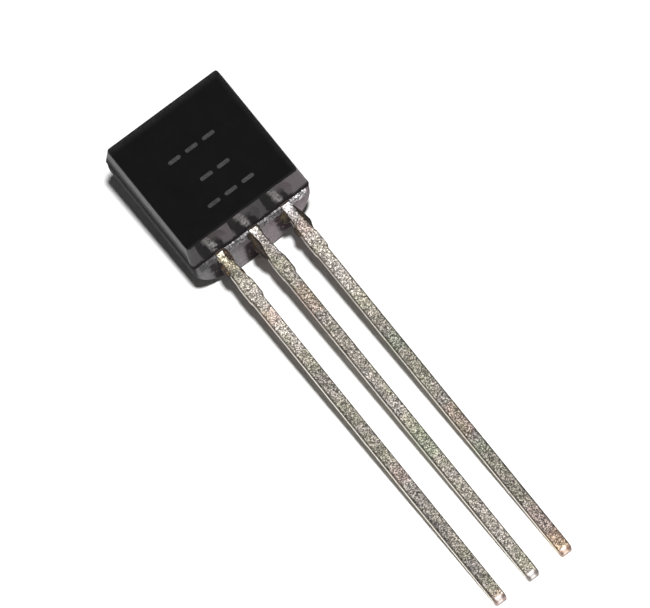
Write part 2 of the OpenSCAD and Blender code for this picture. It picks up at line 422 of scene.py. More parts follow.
def broken_compound(name, per_mm, drawn, contrast):
    """The same epoxy where it was broken through: coarse, grey, with glinting grains of filler.

    There are per_mm grains to the millimetre, drawn times longer through the thickness than wide,
    and the brightest is contrast times brighter than the dullest.
    """
    finish = Finish(name, IOR=1.52)
    grains = finish.cells(per_mm, finish.stretched((1.0, 1.0, 1.0 / drawn)))
    cloud = finish.noise(7.0, 4.0, 0.65)
    front_lip = finish.z.step(-0.10, -0.02)
    # Painted glints: the grains are painted to glint more towards the right end of the row
    right_end = finish.x.step(1.3, 1.6)
    painted_glint_level = 0.15 + finish.x.step(-1.55, -1.40) * 0.68 - finish.x.step(0.0, 0.5) * 0.18
    painted_glint_level = painted_glint_level + right_end * 1.25
    glint = finish.math("POWER", contrast, finish.split(grains.output("Color")))
    grey = finish.blend(cloud, (0.020, 0.019, 0.021), (0.030, 0.028, 0.028))
    # and painted to glint more along the front lip, as a painted highlight on its edge
    colour = finish.scaled(grey, glint * painted_glint_level * (1.0 + front_lip * (0.25 + right_end * 0.3)))
    relief = finish.bump(grains * 0.7 + cloud, 0.012 * MM, 0.8)
    return finish.drive(Base_Color=colour, Roughness=0.45 + cloud * 0.3, Normal=relief)


def resin_flash(settings):
    """Thin resin that bled past the mould: dark brown where thick, olive and clearer where thin."""
    finish = Finish("resin_flash", IOR=1.5, Specular_IOR_Level=0.3)
    cloud = finish.noise(6.0, 4.0, 0.6)
    thin = finish.noise(2.6, 2.0)
    brown = Vector(settings.flash_colour)
    olive = Vector((brown.x * 1.9, brown.y * 2.1, brown.z * 1.5))
    tone = finish.blend(thin.step(0.45, 0.60), brown, olive)
    # What clings to the last lead is paler on its inner side and nearly black on its outer side
    depth = 1.0 + finish.x.step(0.5, 0.8) * 0.3 - finish.x.step(1.2, 1.4) * 0.85
    colour = finish.scaled(tone, (cloud.step(0.25, 0.80) * 2.2 + 0.3) * depth)
    # A few grains are painted as golden glints, most of them towards the first lead
    tints = finish.cells(22.0).output("Color")
    glints = finish.split(tints).step(0.90, 0.94) * finish.x.step(0.0, -0.9)
    colour = finish.blend(glints * 0.5, colour, (0.26, 0.15, 0.06))
    relief = finish.bump(cloud, 0.008 * MM, 0.5)
    return finish.drive(Base_Color=colour, Roughness=0.55 + thin * 0.3, Normal=relief)


# What each kind of stain does to the plating's red, green and blue
STAIN_TONES = {
    "pink": (1.11, 1.0, 0.98),
    "green": (0.90, 1.0, 0.90),
    "straw": (1.07, 1.0, 0.91),
    "white": (0.99, 1.0, 1.06),
    "copper": (1.12, 0.92, 0.80),
}

# Stains on the plating: which lead, from where to where out from the body, and tone. The places,
# how far a stain fades either side of its ends, and how far it reaches to each side of the middle
# of its lead are in millimetres
STAINS = (
    (-1, -0.5, 0.75, "straw"), (-1, 2.4, 3.0, "pink"), (-1, 9.0, 9.6, "pink"),
    (0, 2.4, 3.5, "pink"), (0, 8.4, 9.5, "green"),
    (1, -0.5, 0.55, "white"), (1, 0.7, 1.25, "pink"), (1, 5.4, 6.1, "green"),
    (1, 8.4, 9.6, "pink"), (1, 9.9, 10.4, "green"), (1, 12.6, 13.6, "pink"), (1, 13.6, 15.0, "copper"),
    (-1, 14.1, 15.0, "pink"),
)
STAIN_FADE = 0.15
STAIN_REACH = 0.6


def plating_stains(finish, ragged):
    """All the stains together, as a colour that the plating's own is multiplied by."""
    out = ragged - finish.y
    stains = (1.0, 1.0, 1.0)
    for lead, start, end, tone in STAINS:
        begun = out.step(start - STAIN_FADE, start + STAIN_FADE)
        along = begun * out.step(end + STAIN_FADE, end - STAIN_FADE)
        on_lead = finish.math("COMPARE", finish.x, lead * LEAD_PITCH / MM, STAIN_REACH)
        stains = finish.blend(along * on_lead, stains, STAIN_TONES[tone])
    return stains


def plating_light(finish, coarse):
    """Light painted along the leads: how pale the plating is, which is palest at their roots."""
    end = LEAD_LENGTH / MM
    patch = finish.noise(0.55, 2.0, 0.5, finish.stretched((1.3, 1.0, 1.0)))
    outer_leads = finish.math("ABSOLUTE", finish.x).step(0.6, 0.7)
    near = finish.y.step(-5.0, -3.4) * (0.4 + finish.y.step(-0.7, -1.4) * 0.6)
    far = finish.y.step(-8.5, -10.5)
    tip = finish.y.step(0.87 - end, 0.47 - end)
    neck = (finish.y + coarse * 0.3).step(-0.55, 0.10)
    root = (finish.y + coarse * 0.2).step(-0.25, 0.10)
    level = 1.0 + outer_leads * (near * 0.54 - 0.15 - far * 0.14)
    level = level + tip * (0.05 + outer_leads * 0.15) + patch * 0.3
    return level * (1.0 + neck * 0.7) + neck * 0.5 + root * 1.4


def stamped_sides(finish, metal, tin):
    """The metal with its stamped sides: torn and dull at the front, burnished towards the back, with
    painted reflections on both bands.
    """
    back = -LEAD_THICKNESS / MM
    torn = finish.z.step(-0.02, -0.05) * finish.z.step(-0.17, -0.13)
    burnished_and_gleam = finish.z.step(-0.13, -0.17) * finish.z.step(back - 0.005, back + 0.015)
    drag = finish.noise(26.0, 2.0, 0.6, finish.stretched((1.0, 1.0, 0.12)))
    # The burnished band is painted far paler than tin, more so further out: a painted reflection on a
    # real burnish
    polish_and_gleam = (2.4 + drag * 3.6) * (1.0 + finish.y.step(-3.5, -5.0) * 0.3)
    # The torn band is painted darker: a painted dark reflection on a real torn edge
    metal = finish.blend(torn * 0.6, metal, tin * 0.45)
    return finish.blend(burnished_and_gleam * 0.9, metal, finish.scaled(tin, polish_and_gleam))


def cut_ends(finish, metal, coarse, fine):
    """The metal with its cut ends: bared alloy, dull but for a painted highlight, a bright spot near
    the front of each end.
    """
    end = LEAD_LENGTH / MM
    cut = (finish.y + finish.noise(9.0, 2.0) * 0.10).step(0.23 - end, 0.17 - end)
    beside = finish.from_lead()
    # A painted highlight: a bright spot near the front of each cut end
    highlight_spot = (beside + fine * 0.1 - 0.02).step(-0.12, -0.06) * (beside + coarse * 0.2).step(0.19, 0.11)
    highlight_spot = highlight_spot * finish.z.step(-0.26, -0.18)
    alloy = finish.ramp(coarse, (0.40, (0.16, 0.14, 0.13)), (0.60, (0.42, 0.36, 0.33)))
    alloy = finish.blend(highlight_spot, alloy, (0.95, 0.92, 0.90))
    return finish.blend(cut * 0.9, metal, alloy)


def tin_plating(settings):
    """Matt tin: pitted and grainy, stained in patches, worn to the alloy at the cut ends."""
    finish = Finish("tin_plating", Metallic=1.0)
    crystals = finish.cells(settings.plating_grain)
    fine = finish.noise(24.0, 2.0, 0.6)
    coarse = finish.noise(8.0, 3.0, 0.6)
    hue = finish.noise(0.9, 2.0, 0.5, finish.stretched((1.2, 1.0, 1.0)))
    tin = Vector(settings.tin_colour)
    olive = Vector((tin.x * 0.97, tin.y, tin.z * 0.92))
    grey = Vector((tin.x, tin.y, tin.z * 1.06))
    tint = finish.ramp(hue, (0.38, olive), (0.50, tin), (0.62, grey))
    # Each crystal catches the light by its own amount, bright ones far more than dull ones dim it
    own_share = finish.split(crystals.output("Color"))
    sparkle = finish.math("POWER", settings.plating_contrast, own_share)
    light = sparkle * plating_light(finish, coarse) * settings.plating_level
    metal = finish.scaled(tint, light)
    metal = stamped_sides(finish, metal, tin)
    metal = cut_ends(finish, metal, coarse, fine)
    metal = finish.blend(1.0, metal, plating_stains(finish, coarse * 0.5 - 0.25), "MULTIPLY")
    worn = finish.bump(fine * 0.5 + crystals * 0.5, 0.004 * MM, 0.45)
    relief = finish.bump(coarse, 0.010 * MM, 0.4, under=worn)
    return finish.drive(Base_Color=metal, Roughness=0.52 + coarse * 0.08, Normal=relief)


def laser_mark(settings):
    """Compound scorched to a pale grey film by the marking laser."""
    finish = Finish("laser_mark", IOR=1.5)
    pulses = finish.cells(19.0, randomness=0.6)
    cloud = finish.noise(5.0, 3.0, 0.6)
    base = Vector(settings.mark_colour)
    colour = finish.ramp(pulses * 0.6 + cloud * 0.6, (0.25, base * 1.5), (0.75, base * 0.5))
    rough = 0.7 + cloud * 0.2
    relief = finish.bump(pulses, 0.006 * MM, 0.5)
    return finish.drive(Base_Color=colour, Roughness=rough, Normal=relief)


def die_solder():
    """Soft solder under the chip: dull grey, slightly rippled where it froze."""
    finish = Finish("die_solder", Metallic=1.0)
    ripple = finish.noise(11.0, 3.0)
    colour = finish.ramp(ripple, (0.3, (0.30, 0.31, 0.33)), (0.7, (0.50, 0.51, 0.53)))
    return finish.drive(
        Base_Color=colour, Roughness=0.35 + ripple * 0.25, Normal=finish.bump(ripple, 0.006 * MM, 0.5)
    )


def silicon():
    """Polished chip: grey-blue silicon with sawn sides and bright aluminium pads."""
    finish = Finish("silicon", IOR=3.4)
    pads = finish.z.step(CHIP_TOP / MM + 0.0002, CHIP_TOP / MM + 0.0006)
    sides = finish.noise(30.0, 2.0, 0.5, finish.stretched((1.0, 1.0, 6.0)))
    film = finish.noise(3.0, 2.0)
    chip = finish.ramp(film, (0.35, (0.055, 0.065, 0.085)), (0.65, (0.085, 0.08, 0.11)))
    colour = finish.blend(pads, chip, (0.82, 0.83, 0.84))
    sawn = finish.z.step(CHIP_TOP / MM - 0.002, CHIP_TOP / MM - 0.008)
    rough = 0.12 + sawn * sides * 0.4 + pads * 0.2
    relief = finish.bump(sides * sawn, 0.002 * MM, 0.6)
    return finish.drive(Base_Color=colour, Roughness=rough, Metallic=pads, Normal=relief)


def gold_wire():
    """Drawn gold: faint die lines along the wire, a little duller where it was pressed."""
    finish = Finish("gold_wire", Metallic=1.0)
    lines = finish.noise(60.0, 2.0, 0.6, finish.stretched((1.0, 0.3, 1.0)))
    pressed = finish.z.step(0.06, 0.02)
    colour = finish.ramp(lines, (0.3, (0.92, 0.62, 0.20)), (0.7, (1.0, 0.77, 0.34)))
    rough = 0.18 + lines * 0.12 + pressed * 0.15
    return finish.drive(Base_Color=colour, Roughness=rough, Normal=finish.bump(lines, 0.001 * MM, 0.4))


# -------------------------------------------------------------------- shaping


def keep_mesh(name, mesh, material):
    """The piece that a finished mesh and its material make, which rides on the part."""
    mesh.materials.clear()
    mesh.materials.append(material)
    piece = bpy.data.objects.new(name, mesh)
    bpy.context.scene.collection.objects.link(piece)
    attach(piece, BODY)
    return piece


def baked(mesh, modify):
    """The mesh after modify has put its modifiers on an object that holds it."""
    holder = bpy.data.objects.new("holder", mesh)
    bpy.context.scene.collection.objects.link(holder)
    modify(holder)
    graph = bpy.context.evaluated_depsgraph_get()
    result = bpy.data.meshes.new_from_object(holder.evaluated_get(graph), depsgraph=graph)
    holder.modifiers.clear()
    bpy.data.objects.remove(holder)
    return result


def shade_smooth(mesh):
    """Smooths every face of a mesh."""
    mesh.polygons.foreach_set("use_smooth", [True] * len(mesh.polygons))
    mesh.update()


def set_input(modifier, name, value):
    """Sets a Geometry Nodes input by the identifier of the socket with that name."""
    for item in modifier.node_group.interface.items_tree:
        if item.item_type == "SOCKET" and item.in_out == "INPUT" and item.name == name:
            modifier[item.identifier] = value
            return
    raise RuntimeError(f"{modifier.node_group.name} has no input named {name}")


class Recipe:
    """A Geometry Nodes tree under construction."""

    def __init__(self, name, inputs):
        self.tree = bpy.data.node_groups.new(name, "GeometryNodeTree")
        interface = self.tree.interface
        interface.new_socket("Geometry", in_out="INPUT", socket_type="NodeSocketGeometry")
        for label, (kind, default) in inputs.items():
            socket = interface.new_socket(label, in_out="INPUT", socket_type=kind)
            if default is not None:
                socket.default_value = default
        interface.new_socket("Geometry", in_out="OUTPUT", socket_type="NodeSocketGeometry")
        self.start = self.tree.nodes.new("NodeGroupInput")
        self.end = self.tree.nodes.new("NodeGroupOutput")

    def given(self, label):
        """An input of the tree."""
        return self.start.outputs[label]

    def node(self, kind, settings, sockets):
        """The first output of a node that is added to the tree."""
        return add_node(self.tree, kind, settings, sockets).outputs[0]

    def finish(self, geometry):
        """Realizes what was instanced, sets its material and closes the tree."""
        real = self.node("GeometryNodeRealizeInstances", {}, {"Geometry": geometry})
        painted = self.node("GeometryNodeSetMaterial", {}, {
            "Geometry": real, "Material": self.given("Material"),
        })
        self.tree.links.new(painted, self.end.inputs["Geometry"])
        return self.tree


def bars_recipe():
    """A rounded bar of film on every point of the input."""
    recipe = Recipe("marking_bars", {
        "Length": ("NodeSocketFloat", 0.5 * MM),
        "Height": ("NodeSocketFloat", 0.1 * MM),
        "Corner": ("NodeSocketFloat", 0.04 * MM),
        "Film": ("NodeSocketFloat", 0.002 * MM),
        "Material": ("NodeSocketMaterial", None),
    })
    outline = recipe.node("GeometryNodeCurvePrimitiveQuadrilateral", {}, {
        "Width": recipe.given("Length"), "Height": recipe.given("Height"),
    })
    rounded = recipe.node("GeometryNodeFilletCurve", {"mode": "POLY"}, {
        "Curve": outline, "Radius": recipe.given("Corner"), "Count": 4,
    })
    filled = recipe.node("GeometryNodeFillCurve", {}, {"Curve": rounded})
    film = recipe.node("GeometryNodeExtrudeMesh", {}, {
        "Mesh": filled, "Offset Scale": recipe.given("Film"), "Individual": False,
    })
    underside = recipe.node("GeometryNodeFlipFaces", {}, {"Mesh": filled})
    bar = recipe.node("GeometryNodeJoinGeometry", {}, {"Geometry": [film, underside]})
    closed = recipe.node("GeometryNodeMergeByDistance", {}, {"Geometry": bar, "Distance": WELD})
    placed = recipe.node("GeometryNodeInstanceOnPoints", {}, {
        "Points": recipe.given("Geometry"), "Instance": closed,
    })
    return recipe.finish(placed)


def crumbs_recipe():
    """Small broken grains scattered over the faces of the input, which is left out."""
    recipe = Recipe("compound_crumbs", {
        "Crumbs per Area": ("NodeSocketFloat", 6.0e7),
        "Smallest": ("NodeSocketFloat", 0.3),
        "Grain": ("NodeSocketFloat", 0.012 * MM),
        "Seed": ("NodeSocketInt", 4),
        "Material": ("NodeSocketMaterial", None),
    })
    seed = recipe.given("Seed")
    points = recipe.node("GeometryNodeDistributePointsOnFaces", {"distribute_method": "RANDOM"}, {
        "Mesh": recipe.given("Geometry"), "Density": recipe.given("Crumbs per Area"), "Seed": seed,
    })
    grain = recipe.node("GeometryNodeMeshIcoSphere", {}, {
        "Radius": recipe.given("Grain"), "Subdivisions": 1,
    })
    turn = recipe.node("FunctionNodeRandomValue", {"data_type": "FLOAT_VECTOR"}, {
        "Max": (math.tau, math.tau, math.tau), "Seed": seed,
    })
    low = recipe.node("ShaderNodeCombineXYZ", {}, {
        axis: recipe.given("Smallest") for axis in ("X", "Y", "Z")
    })
    size = recipe.node("FunctionNodeRandomValue", {"data_type": "FLOAT_VECTOR"}, {
        "Min": low, "Max": (1.0, 1.0, 1.0), "Seed": seed,
    })
    placed = recipe.node("GeometryNodeInstanceOnPoints", {}, {
        "Points": points, "Instance": grain, "Rotation": turn, "Scale": size,
    })
    return recipe.finish(placed)


def grown(name, mesh, tree, inputs, material):
    """The plain mesh that a Geometry Nodes tree makes from a mesh, as a placed piece."""

    def modify(holder):
        modifier = holder.modifiers.new(name, "NODES")
        modifier.node_group = tree
        set_input(modifier, "Material", material)
        for label, value in inputs.items():
            set_input(modifier, label, value)

    result = baked(mesh, modify)
    result.transform(PACKAGE)
    return keep_mesh(name, result, material)


# --------------------------------------------------------------------- pieces


def lead_half_width(y):
    """Half the width of a lead at a place outside the body."""
    out = -y
    if out <= NECK_LENGTH:
        return NECK_WIDTH / 2
    flared = min((out - NECK_LENGTH) / FLARE_LENGTH, 1.0)
    return (NECK_WIDTH + flared * (LEAD_WIDTH - NECK_WIDTH)) / 2


def plain_mesh(shell, name):
    """The mesh that a shell makes, which is freed."""
    mesh = bpy.data.meshes.new(name)
    shell.to_mesh(mesh)
    shell.free()
    return mesh


def outward_mesh(shell, name):
    """The mesh that a closed shell makes once its faces point outwards."""
    bmesh.ops.recalc_face_normals(shell, faces=shell.faces)
    return plain_mesh(shell, name)


def merged_copy(node):
    """A node's mesh as one closed shell in package axes and millimetres."""
    shell = bmesh.new()
    shell.from_mesh(frame["nodes"][node].data)
    shell.transform(Matrix.Scale(1 / MM, 4) @ PACKAGE.inverted())
    bmesh.ops.remove_doubles(shell, verts=shell.verts, dist=WELD / MM)
    bmesh.ops.dissolve_limit(
        shell, angle_limit=math.radians(1), verts=shell.verts, edges=shell.edges
    )
    return plain_mesh(shell, node)


# How far the sides of a lead come in at its cut end, as a share of its width
SHEAR_NARROWING = 0.06

# Noise that the plating is uneven by, in cells to the millimetre
PLATING_SWELLS = 2.3
PLATING_RIPPLES = 9.0


def sheared_end(point, settings, place):
    """Draws a point near the cut end of a lead in, as the shear rolled it over.

    The front is drawn down most and the back not at all, and the sides come in a little.
    """
    from_end = point.y + LEAD_LENGTH / MM
    reach = settings.shear_length / MM
    if from_end >= reach:
        return
    rolled = (1 - from_end / reach) ** 2
    uneven = 0.75 + 0.25 * noise.noise(Vector((place, point.x * 4, 0)))
    towards_front = max(1 + point.z / (LEAD_THICKNESS / MM), 0.0)
    point.z -= rolled * (settings.shear_drop / MM * uneven) * towards_front
    point.x -= (point.x - place * LEAD_PITCH / MM) * rolled * SHEAR_NARROWING


def plated_leads(settings):
    """The three leads, their edges rolled over and their plating grained."""
    material = tin_plating(settings)
    depth = settings.plating_relief / MM

    def modify(holder):
        rolled = holder.modifiers.new("rolled_edges", "BEVEL")
        rolled.width = settings.edge_rounding / MM
        rolled.segments = 3
        rolled.limit_method = "ANGLE"
        rolled.angle_limit = math.radians(40)
        even = holder.modifiers.new("even_mesh", "REMESH")
        even.mode = "VOXEL"
        even.voxel_size = settings.plating_cell / MM
        even.use_smooth_shade = True

    for node, place in LEADS.items():
        mesh = baked(merged_copy(node), modify)
        normals = [vertex.normal.copy() for vertex in mesh.vertices]
        for vertex, normal in zip(mesh.vertices, normals):
            point = vertex.co
            swells = noise.noise(point * PLATING_SWELLS)
            ripples = noise.noise(point * PLATING_RIPPLES)
            point -= normal * depth * (0.5 + 0.5 * (swells * 0.6 + ripples * 0.4))
            sheared_end(point, settings, place)
        mesh.transform(PACKAGE @ Matrix.Scale(MM, 4))
        shade_smooth(mesh)
        piece = keep_mesh(f"{node}_plated", mesh, material)
        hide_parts(node)


# How a face breaks: its lumps, its grains and the drift of its facets in noise cells to the
# millimetre, how far a facet drifts sideways as a share of its size, what share of the relief the
# rim has, the least of it that is left anywhere, and where the drift's own noise is read
BREAK_LUMPS = 5.0
BREAK_GRAINS = 19.0
BREAK_DRIFT = 13.0
DRIFT_SHARE = 0.35
RIM_SHARE = 0.3
LEAST_SHARE = 0.05
DRIFT_PLACE = Vector((7, 3, 1))


def ragged_slab(shell, low, high, relief, cell, seed, open_way):
    """Adds a closed box whose outer face, towards open_way along y, is broken rough."""
    size = high - low
    columns = max(2, round(size.x / cell))
    rows = max(2, round(size.z / cell))
    outer, inner = {}, {}
    face_y, back_y = (low.y, high.y) if open_way < 0 else (high.y, low.y)
    for i in range(columns + 1):
        for j in range(rows + 1):
            x = low.x + size.x * i / columns
            z = low.z + size.z * j / rows
            place = Vector((x, z, seed * MM)) / MM
            rim = i in (0, columns) or j in (0, rows)
            lumps = noise.noise(place * BREAK_LUMPS)
            grains = noise.noise(place * BREAK_GRAINS)
            broken = max(0.5 + 0.3 * lumps + 0.4 * grains, LEAST_SHARE)
            lift = relief * broken * (RIM_SHARE if rim else 1.0)
            drift = cell * DRIFT_SHARE * noise.noise(place * BREAK_DRIFT + DRIFT_PLACE)
            outer[i, j] = shell.verts.new((x + drift, face_y + open_way * lift, z + drift * (not rim)))
            inner[i, j] = shell.verts.new((x, back_y, z)) if rim else None
    for i in range(columns):
        for j in range(rows):
            shell.faces.new((outer[i, j], outer[i + 1, j], outer[i + 1, j + 1], outer[i, j + 1]))
    loop = [(i, 0) for i in range(columns)] + [(columns, j) for j in range(rows)]
    loop += [(i, rows) for i in range(columns, 0, -1)] + [(0, j) for j in range(rows, 0, -1)]
    for this, after in zip(loop, loop[1:] + loop[:1]):
        shell.faces.new((outer[this], outer[after], inner[after], inner[this]))
    shell.faces.new([inner[place] for place in loop])


def land_gaps():
    """Each stretch of the trimmed land between or outside the leads, from its low to its high x."""
    edges = [-LAND_HALF_WIDTH]
    for place in LEADS.values():
        edges += [place * LEAD_PITCH - NECK_WIDTH / 2, place * LEAD_PITCH + NECK_WIDTH / 2]
    edges.append(LAND_HALF_WIDTH)
    return list(zip(edges[::2], edges[1::2]))


# How far the slabs of the trimmed land start proud of it below and at the front, and reach in behind
LAND_PROUD = 0.002 * MM
LAND_FRONT = 0.004 * MM
LAND_BEHIND = 0.02 * MM

# How much of the gate stub is left to the relief of its break, how far its slab reaches in behind
# that, and what share of the land's relief it has
GATE_BREAK = 0.02 * MM
GATE_BEHIND = 0.03 * MM
GATE_SHARE = 0.6


def land_mesh(settings):
    """The broken face of the trimmed land, one slab to each gap."""
    shell = bmesh.new()
    for seed, (left, right) in enumerate(land_gaps()):
        low = Vector((left, -LAND_HEIGHT - LAND_PROUD, -LEAD_THICKNESS))
        high = Vector((right, LAND_BEHIND, LAND_FRONT))
        ragged_slab(shell, low, high, settings.land_relief, settings.land_cell, seed, open_way=-1)
    return outward_mesh(shell, "trimmed_land_face")


def gate_mesh(settings):
    """The broken face of the gate stub on the top end, set back to keep the stub's length."""
    shell = bmesh.new()
    start = GATE_TIP - GATE_BREAK
    low = Vector((-GATE_WIDTH / 2, start - GATE_BEHIND, -GATE_THICKNESS))
    high = Vector((GATE_WIDTH / 2, start, 0))
    relief = settings.land_relief * GATE_SHARE
    ragged_slab(shell, low, high, relief, settings.land_cell, seed=9, open_way=1)
    return outward_mesh(shell, "gate_break")


# Flash left beside the necks: which lead, which side of it, where it starts and ends out from the
# body, how far it reaches out, and how far it laps over the front, all in millimetres
FLASH_SCRAPS = (
    (-1, -1, 0.26, 0.80, 0.13, 0.00),
    (-1, 1, -0.04, 0.50, 0.07, 0.13),
    (-1, 1, 0.84, 1.06, 0.01, 0.07),
    (0, -1, -0.04, 0.34, 0.13, 0.00),
    (0, -1, 0.12, 1.10, 0.18, 0.07),
    (0, 1, 0.06, 0.30, 0.03, 0.01),
    (1, -1, 0.14, 0.52, 0.33, 0.00),
    (1, -1, 0.78, 1.12, 0.10, 0.00),
    (1, 1, 0.16, 1.16, 0.16, 0.00),
)

# The fins, in millimetres: how far their middle lies behind the front of the leads, half their
# thickness, how far they run in past the edge of a neck, how far a lap stands proud of the front,
# the least that is left of a fin, and how much its edge varies
FIN_DEPTH = 0.19
FIN_HALF_THICKNESS = 0.16
FIN_OVERLAP = 0.02
FIN_PROUD = 0.008
FIN_LEAST = 0.006
FIN_VARIATION = 0.003

# The stations along a fin, and the turns in degrees at which its rounded edge has points
FIN_STATIONS_PER_MM = 40
FIN_LEAST_STATIONS = 12
FIN_EDGE_TURNS = (80, 45, 10, -25, -60)


def torn_fin(shell, scrap, amount, rng):
    """Adds a thin torn fin of flash along the side of a neck."""
    lead, side, start, end, reach, lap = scrap
    stations = max(FIN_LEAST_STATIONS, round((end - start) * FIN_STATIONS_PER_MM))
    middle = -FIN_DEPTH * MM
    rings = []
    for i in range(stations + 1):
        share = i / stations
        y = -(start + (end - start) * share) * MM
        # A fin tapers towards its ends, and each side of each lead is torn in its own way
        taper = math.sin(math.pi * min(max(share, 0.04), 0.96)) ** 0.5
        torn = 0.85 + 0.25 * noise.noise(Vector((share * 5, lead * 3.1, side * 2.3)))
        varied = reach * amount * taper * torn + rng.uniform(-FIN_VARIATION, FIN_VARIATION)
        edge = lead * LEAD_PITCH + side * lead_half_width(y)
        inside = edge - side * (FIN_OVERLAP + lap * taper * torn) * MM
        outside = edge + side * (max(varied, FIN_LEAST) * MM)
        half = FIN_HALF_THICKNESS * MM * taper * torn
        front = FIN_PROUD * MM if lap else middle + half
        back = middle - half
        ring = [(inside, front)]
        for turn in FIN_EDGE_TURNS:
            round_edge = math.cos(math.radians(turn)) ** 0.4
            z = (front + back) / 2 + (front - back) / 2 * math.sin(math.radians(turn))
            ring.append((edge + (outside - edge) * round_edge, z))
        ring.append((inside, back))
        rings.append([shell.verts.new((x, y, z)) for x, z in ring])
    for ring, after in zip(rings, rings[1:]):
        for k in range(len(ring)):
            shell.faces.new((ring[k], ring[k - 1], after[k - 1], after[k]))
    shell.faces.new(rings[0])
    shell.faces.new(rings[-1])


# The film over a root: how far it starts inside the body, where its top, its lip and its underside
# lie, how far its lip is set back from its edge, how much that edge varies, how far it laps over
# the sides of the neck, and the stations across it
FILM_START = 0.08 * MM
FILM_TOP = 0.012 * MM
FILM_LIP = 0.010 * MM
FILM_UNDERSIDE = -0.02 * MM
FILM_SETBACK = 0.008 * MM
FILM_VARIATION = 0.004 * MM
FILM_OVERLAP = 0.01 * MM
FILM_STATIONS = 12


def root_film(shell, lead, length, rng):
    """Adds the film of compound that laps over the front of a lead where it leaves the body."""
    half = NECK_WIDTH / 2 + FILM_OVERLAP
    rings = []
    for i in range(FILM_STATIONS + 1):
        x = lead * LEAD_PITCH - half + 2 * half * i / FILM_STATIONS
        ragged = 0.8 + 0.5 * noise.noise(Vector((x / MM * 7, 2.7, 0)))
        reach = length * ragged + rng.uniform(-FILM_VARIATION, FILM_VARIATION)
        ring = (
            (FILM_START, FILM_TOP), (FILM_SETBACK - reach, FILM_LIP),
            (-reach, FILM_UNDERSIDE), (FILM_START, FILM_UNDERSIDE),
        )
        rings.append([shell.verts.new((x, y, z)) for y, z in ring])
    for ring, after in zip(rings, rings[1:]):
        for k in range(len(ring)):
            further = (k + 1) % len(ring)
            shell.faces.new((ring[k], after[k], after[further], ring[further]))
    shell.faces.new(rings[0])
    shell.faces.new(rings[-1])


def flash_mesh(settings):
    """What is left of the flash: torn fins beside the necks, and a film over the root of each lead."""
    shell = bmesh.new()
    rng = random.Random(11)
    for scrap in FLASH_SCRAPS:
        torn_fin(shell, scrap, settings.flash_amount, rng)
    for lead in LEADS.values():
        root_film(shell, lead, settings.film_length, rng)
    return outward_mesh(shell, "neck_flash")


# Rows of plain bars on the flat: how far up the body each row stands and its shift across, both in
# millimetres, and how many bars it has
MARK_ROWS = ((3.02, -0.02, 3), (1.98, 0.12, 2), (1.12, 0.10, 3))

# How far the bars start proud of the flat, and their corners' radius as a share of their height
MARK_PROUD = 0.0005 * MM
MARK_CORNER = 0.45


def mark_points(settings):
    """A loose point in the middle of each bar of the mark."""
    step = settings.mark_length + settings.mark_gap
    points = []
    for up, shift, count in MARK_ROWS:
        for i in range(count):
            x = shift * MM + (i - (count - 1) / 2) * step
            points.append((x, up * MM, FLAT_LEVEL + MARK_PROUD))
    mesh = bpy.data.meshes.new("mark_points")
    mesh.from_pydata(points, [], [])
    return mesh


# ---------------------------------------------------------------------- stage


def look_from(azimuth, elevation, roll):
    """The way back to a camera that looks down from an azimuth and an elevation, and its turn."""
    level = math.cos(elevation)
    back = Vector((math.sin(azimuth) * level, -math.cos(azimuth) * level, math.sin(elevation)))
    turn = (-back).to_track_quat("-Z", "Y") @ Euler((0, 0, roll)).to_quaternion()
    return back, turn


def place_camera(settings):
    """Puts the camera as far off as its lens needs to take in the width of the view."""
    back, turn = look_from(settings.camera_azimuth, settings.camera_elevation, settings.camera_roll)
    data = bpy.data.cameras.new("camera")
    data.lens = settings.lens
    data.sensor_width = 36.0
    spread = data.sensor_width / 2 / data.lens
    distance = settings.view_width / 2 / spread
    data.clip_start = distance * 0.1
    data.clip_end = distance * 20
    camera = bpy.data.objects.new("camera", data)
    camera.rotation_mode = "QUATERNION"
    camera.rotation_quaternion = turn
    aim = PACKAGE @ Vector((settings.aim_across, settings.aim_along, 0))
    camera.location = aim + back * distance
    bpy.context.scene.collection.objects.link(camera)
    bpy.context.scene.camera = camera


# The key light: the way to it from the part, how far off and how wide it is in metres, its watts
KEY_WAY = (-0.02, -0.31, 0.95)
KEY_DISTANCE = 0.45
KEY_WIDTH = 0.03
KEY_POWER = 2.7


def hang_key_light():
    """A round softbox over the part that faces it."""
    data = bpy.data.lights.new("key", "AREA")
    data.shape = "DISK"
    data.size = KEY_WIDTH
    data.energy = KEY_POWER
    light = bpy.data.objects.new("key", data)
    way = Vector(KEY_WAY).normalized()
    light.location = way * KEY_DISTANCE
    light.rotation_mode = "QUATERNION"
    light.rotation_quaternion = way.to_track_quat("Z", "Y")
    bpy.context.scene.collection.objects.link(light)


def floor_paper(settings):
    """White paper with a faint fibre."""
    finish = Finish("floor_paper", IOR=1.4, Specular_IOR_Level=0.1)
    fibre = finish.noise(1.5, 3.0)
    tone = Vector(settings.floor_colour)
    colour = finish.ramp(fibre, (0.3, tone * 0.99), (0.7, tone))
    return finish.drive(Base_Color=colour, Roughness=0.85 + fibre * 0.1)


def lay_floor(settings):
    """A broad level sheet of paper under the part."""
    shell = bmesh.new()
    bmesh.ops.create_grid(shell, x_segments=8, y_segments=8, size=settings.floor_width / 2)
    mesh = plain_mesh(shell, "floor")
    mesh.materials.append(floor_paper(settings))
    floor = bpy.data.objects.new("floor", mesh)
    bpy.context.scene.collection.objects.link(floor)


# Light round the part: its colour from the level and from overhead, how high on the way to
# overhead it is already at its dimmest, and the backdrop's colour
LEVEL_LIGHT = (0.28, 0.28, 0.28)
OVERHEAD_LIGHT = (0.02, 0.02, 0.02)
DIMMEST_FROM = 0.62
BACKDROP = (0.92, 0.92, 0.92)


